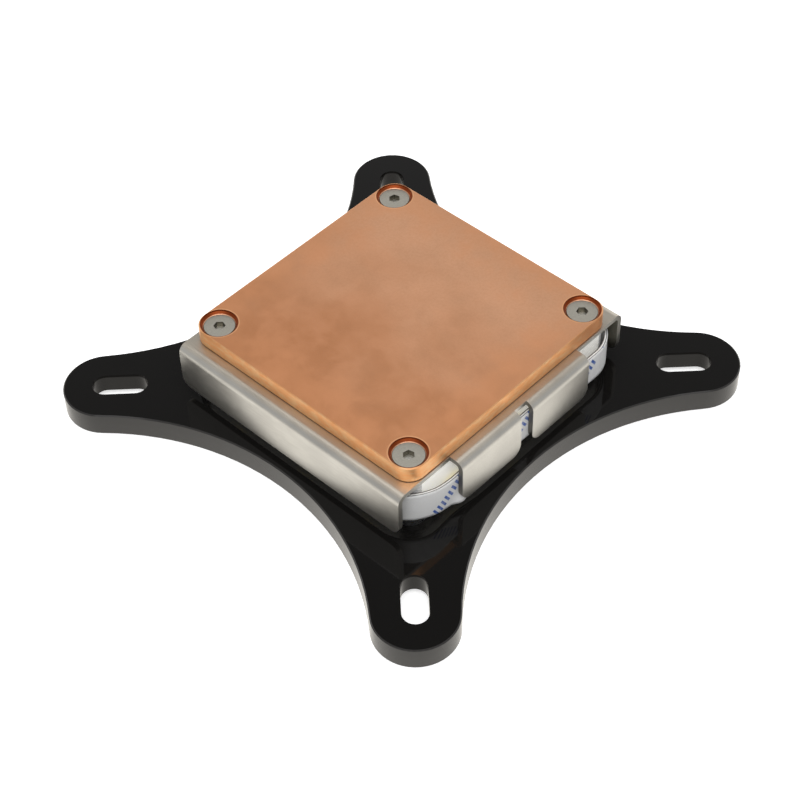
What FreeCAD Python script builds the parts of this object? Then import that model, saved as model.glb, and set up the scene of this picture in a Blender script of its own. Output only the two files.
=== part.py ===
"""Liquid cooling cold plate: a square copper water block on a black X bracket, contact face up.

Row frame in millimetres: +Z leaves the contact face, the origin is the middle of the bracket's outer
face, and the bracket's arms lie along X and Y. The block is drawn square in its own axes u and v and
turned by -45 degrees about Z, so its corners and its screws point along the arms. The cover's short
tabs are on the +u and -u sides, the coolant ports lie along v, and the fins' channels run along u.
"""

import FreeCAD, Part
import math
import os

import Sketcher

V = FreeCAD.Vector
UP = V(0, 0, 1)
TURN = -45.0
ARMS = {"right": 0, "back": 90, "left": 180, "front": 270}  # headings in degrees from +X
doc = FreeCAD.newDocument("cold_plate_assembly")

# --------------------------------------------------------------------------------------------------
# Driving dimensions, in millimetres
# --------------------------------------------------------------------------------------------------

SIZES = {
    # bracket
    "small_socket": 72.0,  # side of the smallest square of mounting holes
    "large_socket": 80.0,  # side of the largest square of mounting holes
    "slot_width": 4.9,
    "slot_chamfer": 1.0,  # lead-in of each slot on the outer face
    "arm_radius": 8.0,  # round end of each arm
    "flank_radius": 52.5,  # hollow flank between two arms
    "bracket_thickness": 5.0,
    "bracket_edge": 0.25,  # broken edge round the outline
    "insert_width": 5.0,  # across the flats
    "insert_length": 4.6,
    # copper base
    "base_width": 55.0,
    "base_corner": 3.5,
    "base_thickness": 3.5,
    "base_edge": 0.15,  # broken edge round both faces
    "fin_margin": 3.9,  # from the fin field to the wet chamber's walls
    "fin_height": 2.0,
    "fin_count": 28,
    # screws
    "screw_margin": 3.75,  # from a screw's axis to the base's two nearest sides
    "screw_diameter": 3.0,
    "screw_grip": 3.35,  # length of a screw inside the bracket
    "screw_tip": 0.4,  # chamfer of the screw's end
    "screw_play": 0.2,  # radial clearance in the holes it passes
    "head_diameter": 5.8,
    "head_rim": 0.2,  # straight rim above the head's cone
    "head_sink": 0.65,  # head's top below the contact face
    "hex_width": 2.0,
    "hex_depth": 1.2,
    "recess_diameter": 7.0,
    # cover
    "cover_thickness": 1.0,
    "cover_overhang": 3.3,  # flanges' outer faces beyond the copper's sides
    "cover_bend": 1.8,  # outer bend radius
    "cover_margin": 0.2,  # cut edges beyond the copper's sides
    "window_margin": 6.5,  # window's sides inside the copper's sides
    "window_corner": 6.0,
    "flange_lift": 2.0,  # flanges' lower edges above the bracket
    "flange_corner": 2.2,
    "tab_gap": 3.2,  # between the two tabs of one side
    "tab_span": 35.0,  # over the two tabs of one side
    # acrylic body
    "body_height": 10.8,  # between bracket and cover
    "boss_diameter": 46.0,
    "boss_play": 0.2,  # radial clearance of the boss in the bracket
    "boss_recess": 0.2,  # boss behind the bracket's outer face
    "port_spacing": 25.0,
    "port_diameter": 13.16,  # major diameter of a G1/4 thread
    "port_depth": 8.0,
    "port_chamfer": 0.6,
    "inlet_diameter": 8.0,  # passage from the inlet port to the plenum
    "plenum_width": 6.0,
    "plenum_depth": 2.0,
    "outlet_length": 16.0,  # window from the wet chamber to the outlet port
    "outlet_width": 5.0,
    "outlet_margin": 0.5,  # from that window to the wet chamber's wall
    "wet_rim": 1.0,  # wall between the seal's groove and the wet chamber
    # seal and jet plate
    "seal_width": 1.8,
    "seal_height": 1.8,
    "seal_play": 0.15,  # room in the groove, on each side
    "jet_lap": 0.5,  # jet plate beyond the fins
    "jet_corner": 1.0,
    "jet_thickness": 0.8,
    "slit_length": 20.0,
    "slit_width": 1.2,
    # lamp strip
    "strip_height": 6.0,
    "strip_thickness": 0.6,
    "strip_drop": 1.5,  # strip's upper edge below the cover's sheet
    "strip_play": 0.1,  # liner inside the flanges
    "strip_seam": 1.5,  # between the strip's two ends
    "liner_thickness": 0.15,
    "liner_corner": 8.2,
    "lamp_length": 3.5,
    "lamp_height": 2.8,
    "lamp_depth": 0.8,
    "lamp_pitch": 16.7,
    "resistor_length": 2.0,
    "resistor_height": 1.25,
    "resistor_depth": 0.5,
    # cutting
    "overrun": 1.0,  # how far a cut goes past what it opens
}

sizes = doc.addObject("Spreadsheet::Sheet", "sizes")
for row, (alias, value) in enumerate(SIZES.items(), start=1):
    sizes.set(f"A{row}", alias)
    sizes.set(f"B{row}", str(value))
    sizes.setAlias(f"B{row}", alias)
doc.recompute()

# --------------------------------------------------------------------------------------------------
# Places and sizes that follow from the driving dimensions: formulas on the sheet or on earlier ones
# --------------------------------------------------------------------------------------------------

FOLLOWS = {
    # distances from the block's centre
    "slot_inner": "sizes.small_socket / sqrt(2)",
    "slot_outer": "sizes.large_socket / sqrt(2)",
    "base_half": "sizes.base_width / 2",
    "screw_offset": "places.base_half - sizes.screw_margin",
    "screw_reach": "places.screw_offset * sqrt(2)",
    "cover_half": "places.base_half + sizes.cover_overhang",
    "cut_half": "places.base_half + sizes.cover_margin",
    "bend_line": "places.cover_half - sizes.cover_bend",
    "liner_half": "places.cover_half - sizes.cover_thickness - sizes.strip_play",
    "strip_half": "places.liner_half - sizes.liner_thickness",
    "lamp_seat": "places.strip_half - sizes.strip_thickness",
    "seam_offset": "places.liner_half - sizes.liner_corner",
    "port_offset": "sizes.port_spacing / 2",
    "window_half": "places.base_half - sizes.window_margin",
    "seal_half": "places.window_half - sizes.seal_play",
    "groove_half": "places.window_half - sizes.seal_width - 2 * sizes.seal_play",
    "wet_half": "places.groove_half - sizes.wet_rim",
    "fin_half": "places.wet_half - sizes.fin_margin",
    "jet_half": "places.fin_half + sizes.jet_lap",
    "outlet_offset": "places.wet_half - sizes.outlet_margin - sizes.outlet_width / 2",
    # pitches and radii
    "fin_pitch": "2 * places.fin_half / sizes.fin_count",
    "first_channel": "places.fin_pitch - places.fin_half",
    "seal_corner": "sizes.window_corner - sizes.seal_play",
    "groove_corner": "sizes.window_corner - places.window_half + places.groove_half",
    "wet_corner": "sizes.window_corner - places.window_half + places.wet_half",
    # diameters
    "hole_diameter": "sizes.screw_diameter + 2 * sizes.screw_play",
    "opening_diameter": "sizes.boss_diameter + 2 * sizes.boss_play",
    # heights above the bracket's outer face
    "bracket_top": "sizes.bracket_thickness",
    "body_top": "places.bracket_top + sizes.body_height",
    "cover_top": "places.body_top + sizes.cover_thickness",
    "contact": "places.cover_top + sizes.base_thickness",
    "head_top": "places.contact - sizes.head_sink",
    "fin_tips": "places.cover_top - sizes.fin_height",
    "wet_floor": "places.fin_tips - sizes.jet_thickness",
    "plenum_floor": "places.wet_floor - sizes.plenum_depth",
    "seal_floor": "places.cover_top - sizes.seal_height",
    "port_end": "sizes.boss_recess + sizes.port_depth",
    "flange_bottom": "places.bracket_top + sizes.flange_lift",
    "strip_top": "places.body_top - sizes.strip_drop",
    "strip_bottom": "places.strip_top - sizes.strip_height",
    "strip_middle": "places.strip_top - sizes.strip_height / 2",
    "insert_bottom": "places.bracket_top - sizes.insert_length",
    # lengths
    "screw_length": "places.head_top - places.bracket_top + sizes.screw_grip",
}

places = doc.addObject("App::VarSet", "places")
for name, formula in FOLLOWS.items():
    places.addProperty("App::PropertyFloat", name, "Places")
    places.setExpression(name, formula)
    doc.recompute()


reading = doc.addObject("App::VarSet", "reading")
reading.addProperty("App::PropertyFloat", "value", "Reading")


def number(formula):
    """The present value of a formula on the sizes and places."""
    reading.setExpression("value", formula)
    reading.recompute()
    return reading.value


# --------------------------------------------------------------------------------------------------
# Sketches, with every size bound to the sheet
# --------------------------------------------------------------------------------------------------

# Sketcher's own indices for the points of a line or arc, and for the sketch's origin
START_INDEX = 1
END_INDEX = 2
CENTRE_INDEX = 3
ORIGIN_INDICES = (-1, START_INDEX)


def new_body(name, turned=True):
    body = doc.addObject("PartDesign::Body", name)
    body.Label = name
    if turned:
        body.Placement = FreeCAD.Placement(V(0, 0, 0), FreeCAD.Rotation(UP, TURN))
    return body


def origin_feature(body, role):
    return next(feature for feature in body.Origin.OriginFeatures if feature.Role == role)


def new_sketch(body, name, height="0", role="XY_Plane"):
    sketch = body.newObject("Sketcher::SketchObject", f"{body.Name}_{name}")
    sketch.AttachmentSupport = [(origin_feature(body, role), "")]
    sketch.MapMode = "FlatFace"
    sketch.setExpression("AttachmentOffset.Base.z", height)
    return sketch


def bind(sketch, kind, *references, formula):
    index = sketch.addConstraint(Sketcher.Constraint(kind, *references, number(formula)))
    sketch.setExpression(f"Constraints[{index}]", formula)


def pin_point(sketch, geometry, point, x, y):
    bind(sketch, "DistanceX", *ORIGIN_INDICES, geometry, point, formula=x)
    bind(sketch, "DistanceY", *ORIGIN_INDICES, geometry, point, formula=y)


def add_circle(sketch, x, y, diameter):
    circle = sketch.addGeometry(Part.Circle(V(number(x), number(y), 0), UP, number(diameter) / 2))
    pin_point(sketch, circle, CENTRE_INDEX, x, y)
    bind(sketch, "Diameter", circle, formula=diameter)


def add_polygon(sketch, corners):
    """A closed outline of straight lines, each corner given as two formulas."""
    points = [V(number(x), number(y), 0) for x, y in corners]
    lines = [sketch.addGeometry(Part.LineSegment(a, b)) for a, b in zip(points, points[1:] + points[:1])]
    for line, following in zip(lines, lines[1:] + lines[:1]):
        sketch.addConstraint(Sketcher.Constraint("Coincident", line, END_INDEX, following, START_INDEX))
    for line, (x, y) in zip(lines, corners):
        pin_point(sketch, line, START_INDEX, x, y)


def add_rectangle(sketch, x_low, y_low, x_high, y_high):
    add_polygon(sketch, [(x_low, y_low), (x_high, y_low), (x_high, y_high), (x_low, y_high)])


def add_rounded(sketch, stations, radius):
    """Equal arcs round the given centres, anticlockwise and joined by tangent lines."""
    r = number(radius)
    centres = [V(number(x), number(y), 0) for x, y in stations]
    outward = []
    for centre, following in zip(centres, centres[1:] + centres[:1]):
        along = (following - centre).normalize()
        outward.append(V(along.y, -along.x, 0) * r)
    arcs = []
    lines = []
    for i, centre in enumerate(centres):
        before = math.atan2(outward[i - 1].y, outward[i - 1].x)
        after = math.atan2(outward[i].y, outward[i].x)
        arcs.append(sketch.addGeometry(Part.ArcOfCircle(Part.Circle(centre, UP, r), before, after)))
        following = centres[(i + 1) % len(centres)]
        lines.append(sketch.addGeometry(Part.LineSegment(centre + outward[i], following + outward[i])))
    for i, arc in enumerate(arcs):
        sketch.addConstraint(Sketcher.Constraint("Tangent", arc, END_INDEX, lines[i], START_INDEX))
        sketch.addConstraint(Sketcher.Constraint("Tangent", lines[i - 1], END_INDEX, arc, START_INDEX))
        pin_point(sketch, arc, CENTRE_INDEX, *stations[i])
        bind(sketch, "Radius", arc, formula=radius)


def add_rounded_square(sketch, half, corner):
    plus = f"({half}) - ({corner})"
    minus = f"({corner}) - ({half})"
    add_rounded(sketch, [(plus, plus), (minus, plus), (minus, minus), (plus, minus)], corner)


def add_hexagon(sketch, width):
    """A hexagon round the origin, with its width across the flats and two corners on X."""
    corner = f"({width}) / sqrt(3)"
    angles = range(0, 360, 60)
    add_polygon(sketch, [(f"{corner} * cos({angle})", f"{corner} * sin({angle})") for angle in angles])


def add_slot(sketch, x_low, x_high, y, width):
    add_rounded(sketch, [(x_high, y), (x_low, y)], f"({width}) / 2")


# --------------------------------------------------------------------------------------------------
# Features
# --------------------------------------------------------------------------------------------------


def pad(body, sketch, length, reverse=False):
    feature = body.newObject("PartDesign::Pad", f"{sketch.Name}_pad")
    feature.Profile = sketch
    feature.setExpression("Length", length)
    feature.Reversed = reverse
    doc.recompute()
    return feature


def cut(body, sketch, depth, upward=False):
    """A pocket that goes down from the sketch, or upward."""
    before = body.Shape.Volume
    feature = body.newObject("PartDesign::Pocket", f"{sketch.Name}_cut")
    feature.Profile = sketch
    feature.setExpression("Length", depth)
    feature.Reversed = upward
    doc.recompute()
    assert feature.Shape.Volume < before, f"{feature.Name} cuts nothing"
    return feature


def turn(body, kind, sketch, axis):
    """A revolution or a groove all the way round an axis."""
    feature = body.newObject(f"PartDesign::{kind}", f"{sketch.Name}_turned")
    feature.Profile = sketch
    feature.ReferenceAxis = axis
    feature.Angle = 360.0
    doc.recompute()
    return feature


def arm_pattern(body, feature):
    """The feature repeated for each arm."""
    pattern = body.newObject("PartDesign::PolarPattern", f"{feature.Name}_pattern")
    pattern.Originals = [feature]
    pattern.Axis = (origin_feature(body, "Z_Axis"), [""])
    pattern.Angle = 360.0
    pattern.Occurrences = len(ARMS)
    body.Tip = pattern
    doc.recompute()
    return pattern


def dress(body, kind, size, name, chosen):
    """A fillet or a chamfer on the edges of the body for which chosen(edge) is true."""
    base = body.Tip
    names = [f"Edge{i}" for i, edge in enumerate(base.Shape.Edges, start=1) if chosen(edge)]
    assert names, f"{name} finds no edges"
    feature = body.newObject(f"PartDesign::{kind}", f"{body.Name}_{name}")
    feature.Base = (base, names)
    feature.setExpression("Radius" if kind == "Fillet" else "Size", size)
    doc.recompute()
    return feature


def near(a, b):
    return abs(a - b) < 1e-4


def lies_at(edge, height):
    box = edge.BoundBox
    return near(box.ZMin, height) and near(box.ZMax, height)


def reach(edge):
    """The greatest distance from the Z axis to the edge's ends."""
    return max(math.hypot(vertex.X, vertex.Y) for vertex in edge.Vertexes)


# --------------------------------------------------------------------------------------------------
# Bracket, and the inserts that hold the screws
# --------------------------------------------------------------------------------------------------


def add_bracket_outline(sketch):
    """Four round arm ends joined by four hollow flanks, all tangent."""
    arm = number("sizes.arm_radius")
    flank = number("sizes.flank_radius")
    tip = number("places.slot_outer")
    across = (tip + math.sqrt(2 * (arm + flank) ** 2 - tip**2)) / 2
    lean = math.atan2(across, across - tip)
    tip_arcs = []
    flank_arcs = []
    for degrees in ARMS.values():
        heading = math.radians(degrees)
        tip_centre = V(tip * math.cos(heading), tip * math.sin(heading), 0)
        tip_circle = Part.Circle(tip_centre, UP, arm)
        tip_arcs.append(sketch.addGeometry(Part.ArcOfCircle(tip_circle, heading - lean, heading + lean)))
        between = heading + math.pi / 4
        flank_centre = V(math.cos(between), math.sin(between), 0) * across * math.sqrt(2)
        flank_circle = Part.Circle(flank_centre, UP, flank)
        first = heading + lean + math.pi
        last = heading + math.pi / 2 - lean + math.pi
        low, high = sorted((first, last))
        flank_arcs.append(sketch.addGeometry(Part.ArcOfCircle(flank_circle, low, high)))
    next_tips = tip_arcs[1:] + tip_arcs[:1]
    for degrees, tip_arc, flank_arc, next_tip in zip(ARMS.values(), tip_arcs, flank_arcs, next_tips):
        sketch.addConstraint(Sketcher.Constraint("Tangent", tip_arc, END_INDEX, flank_arc, END_INDEX))
        sketch.addConstraint(Sketcher.Constraint("Tangent", flank_arc, START_INDEX, next_tip, START_INDEX))
        x = f"places.slot_outer * cos({degrees})"
        y = f"places.slot_outer * sin({degrees})"
        pin_point(sketch, tip_arc, CENTRE_INDEX, x, y)
        bind(sketch, "Radius", tip_arc, formula="sizes.arm_radius")
        bind(sketch, "Radius", flank_arc, formula="sizes.flank_radius")


def make_bracket():
    body = new_body("mounting_bracket", turned=False)
    outline = new_sketch(body, "outline")
    add_bracket_outline(outline)
    pad(body, outline, "sizes.bracket_thickness")
    outline_radii = (number("sizes.arm_radius"), number("sizes.flank_radius"))

    def on_outline(edge):
        if not isinstance(edge.Curve, Part.Circle):
            return False
        return any(near(edge.Curve.Radius, radius) for radius in outline_radii)

    dress(body, "Chamfer", "sizes.bracket_edge", "broken_edge", on_outline)

    opening = new_sketch(body, "opening", "places.bracket_top")
    add_circle(opening, "0", "0", "places.opening_diameter")
    cut(body, opening, "sizes.bracket_thickness")

    slot = new_sketch(body, "slot", "places.bracket_top")
    add_slot(slot, "places.slot_inner", "places.slot_outer", "0", "sizes.slot_width")
    arm_pattern(body, cut(body, slot, "sizes.bracket_thickness"))

    seat = new_sketch(body, "insert_seat", "places.bracket_top")
    seat.setExpression("AttachmentOffset.Base.x", "places.screw_reach")
    add_hexagon(seat, "sizes.insert_width")
    arm_pattern(body, cut(body, seat, "sizes.bracket_thickness"))

    slot_start = number("places.slot_inner - sizes.slot_width / 2")
    slot_side = number("sizes.slot_width / 2")

    def on_slot_mouth(edge):
        beside = [min(abs(vertex.X), abs(vertex.Y)) for vertex in edge.Vertexes]
        return lies_at(edge, 0) and reach(edge) > slot_start and near(max(beside), slot_side)

    dress(body, "Chamfer", "sizes.slot_chamfer", "slot_lead_in", on_slot_mouth)
    return body


def make_insert(name, heading):
    """A hexagonal threaded bush, pressed into the bracket."""
    body = new_body(name, turned=False)
    section = new_sketch(body, "section")
    add_hexagon(section, "sizes.insert_width")
    add_circle(section, "0", "0", "sizes.screw_diameter")
    pad(body, section, "sizes.insert_length")
    put_on_arm(body, heading, "places.insert_bottom")
    return body


def put_on_arm(thing, heading, height):
    """Turns a sub-part to an arm's heading and moves it to the screw axis there, at that height."""
    thing.Placement = FreeCAD.Placement(V(0, 0, 0), FreeCAD.Rotation(UP, heading))
    thing.setExpression("Placement.Base.x", f"places.screw_reach * cos({heading})")
    thing.setExpression("Placement.Base.y", f"places.screw_reach * sin({heading})")
    thing.setExpression("Placement.Base.z", height)


# --------------------------------------------------------------------------------------------------
# Copper base and its screws
# --------------------------------------------------------------------------------------------------


def make_cold_plate():
    body = new_body("cold_plate")
    outline = new_sketch(body, "outline", "places.cover_top")
    add_rounded_square(outline, "places.base_half", "sizes.base_corner")
    pad(body, outline, "sizes.base_thickness")
    dress(body, "Chamfer", "sizes.base_edge", "broken_edge", lambda edge: near(edge.BoundBox.ZLength, 0))

    field = new_sketch(body, "fin_field", "places.cover_top")
    half = "places.fin_half"
    add_rectangle(field, f"-{half}", f"-{half}", half, half)
    pad(body, field, "sizes.fin_height", reverse=True)

    channel = new_sketch(body, "channel", "places.fin_tips")
    low = "places.first_channel - places.fin_pitch / 4"
    high = "places.first_channel + places.fin_pitch / 4"
    add_rectangle(channel, f"-{half}", low, half, high)
    row = body.newObject("PartDesign::LinearPattern", "fin_channels")
    row.Originals = [cut(body, channel, "sizes.fin_height", upward=True)]
    row.Direction = (origin_feature(body, "Y_Axis"), [""])
    row.setExpression("Length", "-2 * places.first_channel")
    row.setExpression("Occurrences", "sizes.fin_count - 1")
    body.Tip = row
    doc.recompute()

    recess = new_sketch(body, "recess", "places.screw_offset", role="XZ_Plane")
    wide = "places.screw_offset + sizes.recess_diameter / 2"
    slim = "places.screw_offset + places.hole_diameter / 2"
    wall = "places.head_top - sizes.head_rim + (sizes.recess_diameter - sizes.head_diameter) / 2"
    seat = f"{wall} - (sizes.recess_diameter - places.hole_diameter) / 2"
    foot = V(number("places.screw_offset"), number("places.cover_top"), 0)
    tip = V(number("places.screw_offset"), number("places.contact"), 0)
    axis = recess.addGeometry(Part.LineSegment(foot, tip), True)
    pin_point(recess, axis, START_INDEX, "places.screw_offset", "places.cover_top")
    pin_point(recess, axis, END_INDEX, "places.screw_offset", "places.contact")
    add_polygon(recess, [
        ("places.screw_offset", "places.contact"), (wide, "places.contact"), (wide, wall), (slim, seat),
        (slim, "places.cover_top"), ("places.screw_offset", "places.cover_top")])
    arm_pattern(body, turn(body, "Groove", recess, (recess, ["Axis0"])))
    return body


def make_screw(name, heading):
    """M3 countersunk screw, drawn with its head's top at height 0 and its axis on Z."""
    body = new_body(name, turned=False)
    profile = new_sketch(body, "profile", role="XZ_Plane")
    head = "sizes.head_diameter / 2"
    core = "sizes.screw_diameter / 2"
    tip = "-places.screw_length"
    add_polygon(profile, [
        ("0", "0"), (head, "0"), (head, "-sizes.head_rim"), (core, f"-sizes.head_rim - {head} + {core}"),
        (core, f"{tip} + sizes.screw_tip"), (f"{core} - sizes.screw_tip", tip), ("0", tip)])
    turn(body, "Revolution", profile, (origin_feature(body, "Z_Axis"), [""]))
    socket = new_sketch(body, "socket")
    add_hexagon(socket, "sizes.hex_width")
    cut(body, socket, "sizes.hex_depth")
    put_on_arm(body, heading, "places.head_top")
    return body


# --------------------------------------------------------------------------------------------------
# Cover: one sheet, with a full flange on the v sides and two tabs on the u sides
# --------------------------------------------------------------------------------------------------


def make_cover():
    body = new_body("cover_plate")
    half = "places.cover_half"
    blank = new_sketch(body, "blank", "places.flange_bottom")
    add_rectangle(blank, f"-{half}", f"-{half}", half, half)
    pad(body, blank, "places.cover_top - places.flange_bottom")
    top = number("places.cover_top")
    dress(body, "Fillet", "sizes.cover_bend", "bend", lambda edge: lies_at(edge, top))

    inside = f"{half} - sizes.cover_thickness"
    hollow = new_sketch(body, "hollow", "places.flange_bottom")
    add_rectangle(hollow, f"-({inside})", f"-({inside})", inside, inside)
    cut(body, hollow, "places.body_top - places.flange_bottom", upward=True)
    under = number("places.body_top")
    inner_bend = "sizes.cover_bend - sizes.cover_thickness"
    dress(body, "Fillet", inner_bend, "inner_bend", lambda edge: lies_at(edge, under))

    past = f"{half} + sizes.overrun"
    notches = new_sketch(body, "notches", "places.cover_top")
    for u_sign in ("", "-"):
        for v_sign in ("", "-"):
            add_rectangle(notches, f"{u_sign}(places.cut_half)", f"{v_sign}(sizes.tab_span / 2)",
                          f"{u_sign}({past})", f"{v_sign}({past})")
    cut(body, notches, "places.cover_top - places.flange_bottom")
    gaps = new_sketch(body, "tab_gaps", "places.cover_top")
    for u_sign in ("", "-"):
        add_rectangle(gaps, f"{u_sign}(places.bend_line)", "-sizes.tab_gap / 2",
                      f"{u_sign}({past})", "sizes.tab_gap / 2")
    cut(body, gaps, "places.cover_top - places.flange_bottom")

    openings = new_sketch(body, "openings", "places.cover_top")
    add_rounded_square(openings, "places.window_half", "sizes.window_corner")
    add_screw_holes(openings)
    cut(body, openings, "sizes.cover_thickness")
    bottom = number("places.flange_bottom")
    sheet_edge = number("sizes.cover_thickness")
    dress(body, "Fillet", "sizes.flange_corner", "flange_corners",
          lambda edge: lies_at(edge, bottom) and near(edge.Length, sheet_edge))
    return body


def add_screw_holes(sketch):
    for u in ("places.screw_offset", "-places.screw_offset"):
        for v in ("places.screw_offset", "-places.screw_offset"):
            add_circle(sketch, u, v, "places.hole_diameter")


# --------------------------------------------------------------------------------------------------
# Acrylic body, seal and jet plate
# --------------------------------------------------------------------------------------------------


def make_block_body():
    body = new_body("block_body")
    outline = new_sketch(body, "outline", "places.bracket_top")
    add_rounded_square(outline, "places.base_half", "sizes.base_corner")
    pad(body, outline, "sizes.body_height")
    boss = new_sketch(body, "boss", "sizes.boss_recess")
    add_circle(boss, "0", "0", "sizes.boss_diameter")
    pad(body, boss, "places.bracket_top - sizes.boss_recess")

    chamber = new_sketch(body, "wet_chamber", "places.body_top")
    add_rounded_square(chamber, "places.wet_half", "places.wet_corner")
    cut(body, chamber, "places.body_top - places.wet_floor")
    groove = new_sketch(body, "seal_groove", "places.body_top")
    add_rounded_square(groove, "places.window_half", "sizes.window_corner")
    add_rounded_square(groove, "places.groove_half", "places.groove_corner")
    cut(body, groove, "places.body_top - places.seal_floor")
    holes = new_sketch(body, "screw_holes", "places.body_top")
    add_screw_holes(holes)
    cut(body, holes, "sizes.body_height")

    ports = new_sketch(body, "ports", "sizes.boss_recess")
    add_circle(ports, "0", "places.port_offset", "sizes.port_diameter")
    add_circle(ports, "0", "-places.port_offset", "sizes.port_diameter")
    cut(body, ports, "sizes.port_depth", upward=True)
    inlet = new_sketch(body, "inlet", "places.port_end")
    add_circle(inlet, "0", "places.port_offset", "sizes.inlet_diameter")
    cut(body, inlet, "places.plenum_floor - places.port_end", upward=True)
    plenum = new_sketch(body, "plenum", "places.wet_floor")
    far_end = "-sizes.slit_length / 2"
    add_rounded(plenum, [("0", "places.port_offset"), ("0", far_end)], "sizes.plenum_width / 2")
    cut(body, plenum, "sizes.plenum_depth")
    outlet = new_sketch(body, "outlet", "places.wet_floor")
    shift = "(sizes.outlet_length - sizes.outlet_width) / 2"
    add_slot(outlet, f"-{shift}", shift, "-places.outlet_offset", "sizes.outlet_width")
    cut(body, outlet, "places.wet_floor - places.port_end")

    port_radius = number("sizes.port_diameter / 2")
    boss_face = number("sizes.boss_recess")
    dress(body, "Chamfer", "sizes.port_chamfer", "port_mouths",
          lambda edge: lies_at(edge, boss_face) and near(edge.Curve.Radius, port_radius))
    return body


def make_seal_ring():
    """Square-cut seal. Its lower part lies in the body's groove, and the cover's window backs the rest."""
    body = new_body("seal_ring")
    ring = new_sketch(body, "ring", "places.seal_floor")
    add_rounded_square(ring, "places.seal_half", "places.seal_corner")
    add_rounded_square(ring, "places.seal_half - sizes.seal_width", "places.seal_corner - sizes.seal_width")
    pad(body, ring, "sizes.seal_height")
    return body


def make_jet_plate():
    body = new_body("jet_plate")
    outline = new_sketch(body, "outline", "places.wet_floor")
    add_rounded_square(outline, "places.jet_half", "sizes.jet_corner")
    pad(body, outline, "sizes.jet_thickness")
    slit = new_sketch(body, "slit", "places.fin_tips")
    ends = "(sizes.slit_length - sizes.slit_width) / 2"
    add_rounded(slit, [("0", ends), ("0", f"-{ends}")], "sizes.slit_width / 2")
    cut(body, slit, "sizes.jet_thickness")
    return body


# --------------------------------------------------------------------------------------------------
# Lamp strip
# --------------------------------------------------------------------------------------------------


def make_band(name, half, thickness, corner):
    """A band on edge round the block, open at its seam beside the back corner."""
    body = new_body(name)
    ring = new_sketch(body, "ring", "places.strip_bottom")
    add_rounded_square(ring, half, corner)
    add_rounded_square(ring, f"{half} - {thickness}", f"{corner} - {thickness}")
    pad(body, ring, "sizes.strip_height")
    seam = new_sketch(body, "seam", "places.strip_top")
    add_rectangle(
        seam, "-places.seam_offset - sizes.strip_seam / 2", f"{half} - {thickness} - sizes.overrun",
        "-places.seam_offset + sizes.strip_seam / 2", f"{half} + sizes.overrun")
    cut(body, seam, "sizes.strip_height")
    return body


def make_chip(name, kind, side, shift):
    """A box on the strip's inner face, centred at shift along that side."""
    chip = doc.addObject("Part::Box", name)
    chip.Label = name
    chip.setExpression("Length", f"sizes.{kind}_depth")
    chip.setExpression("Width", f"sizes.{kind}_length")
    chip.setExpression("Height", f"sizes.{kind}_height")
    heading = TURN + 90 * side
    inward = f"(places.lamp_seat - sizes.{kind}_depth)"
    along = f"({shift} - sizes.{kind}_length / 2)"
    chip.Placement = FreeCAD.Placement(V(0, 0, 0), FreeCAD.Rotation(UP, heading))
    chip.setExpression("Placement.Base.x", f"{inward} * cos({heading}) - {along} * sin({heading})")
    chip.setExpression("Placement.Base.y", f"{inward} * sin({heading}) + {along} * cos({heading})")
    chip.setExpression("Placement.Base.z", f"places.strip_middle - sizes.{kind}_height / 2")
    return chip


# --------------------------------------------------------------------------------------------------
# Assembly
# --------------------------------------------------------------------------------------------------

subparts = [make_bracket(), make_block_body(), make_cover(), make_seal_ring(), make_jet_plate()]
subparts += [make_insert(f"insert_{arm}", heading) for arm, heading in ARMS.items()]
subparts += [make_screw(f"screw_{arm}", heading) for arm, heading in ARMS.items()]
strip_corner = "(sizes.liner_corner - sizes.liner_thickness)"
subparts.append(make_band("light_strip", "places.strip_half", "sizes.strip_thickness", strip_corner))
subparts.append(make_band("strip_liner", "places.liner_half", "sizes.liner_thickness", "sizes.liner_corner"))
for side in range(4):
    for place in (-1, 0, 1):
        lamp_name = f"led_{3 * side + place + 2:02d}"
        subparts.append(make_chip(lamp_name, "lamp", side, f"{place} * sizes.lamp_pitch"))
    subparts.append(make_chip(f"resistor_{side + 1}", "resistor", side, "sizes.lamp_pitch / 2"))
subparts.append(make_cold_plate())
doc.recompute()

for item in doc.Objects:
    assert "Invalid" not in item.State and "Error" not in item.State, f"{item.Name}: {item.State}"
for item in subparts:
    assert not item.Shape.isNull() and item.Shape.isValid(), f"{item.Label}: no valid shape"
os.makedirs("parts", exist_ok=True)
for item in subparts:
    item.Shape.exportStep(f"parts/{item.Label}.step")
    box = item.Shape.BoundBox
    low = f"{box.XMin:.2f} {box.YMin:.2f} {box.ZMin:.2f}"
    high = f"{box.XMax:.2f} {box.YMax:.2f} {box.ZMax:.2f}"
    print(f"{item.Label}: {len(item.Shape.Solids)} solid, {item.Shape.Volume:.2f} mm3, from {low} to {high}")
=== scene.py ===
"""Looks for the liquid cooling cold plate. Metres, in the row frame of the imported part.

The block is turned by -45 degrees about Z. Its own axes are called u (to the front right) and v (to the
back right). The materials measure in millimetres. Their names in LOW and HIGH are the two ends that a
noise or a height runs between.
"""

import math

import bmesh
import bpy
from mathutils import Matrix, Vector


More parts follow.
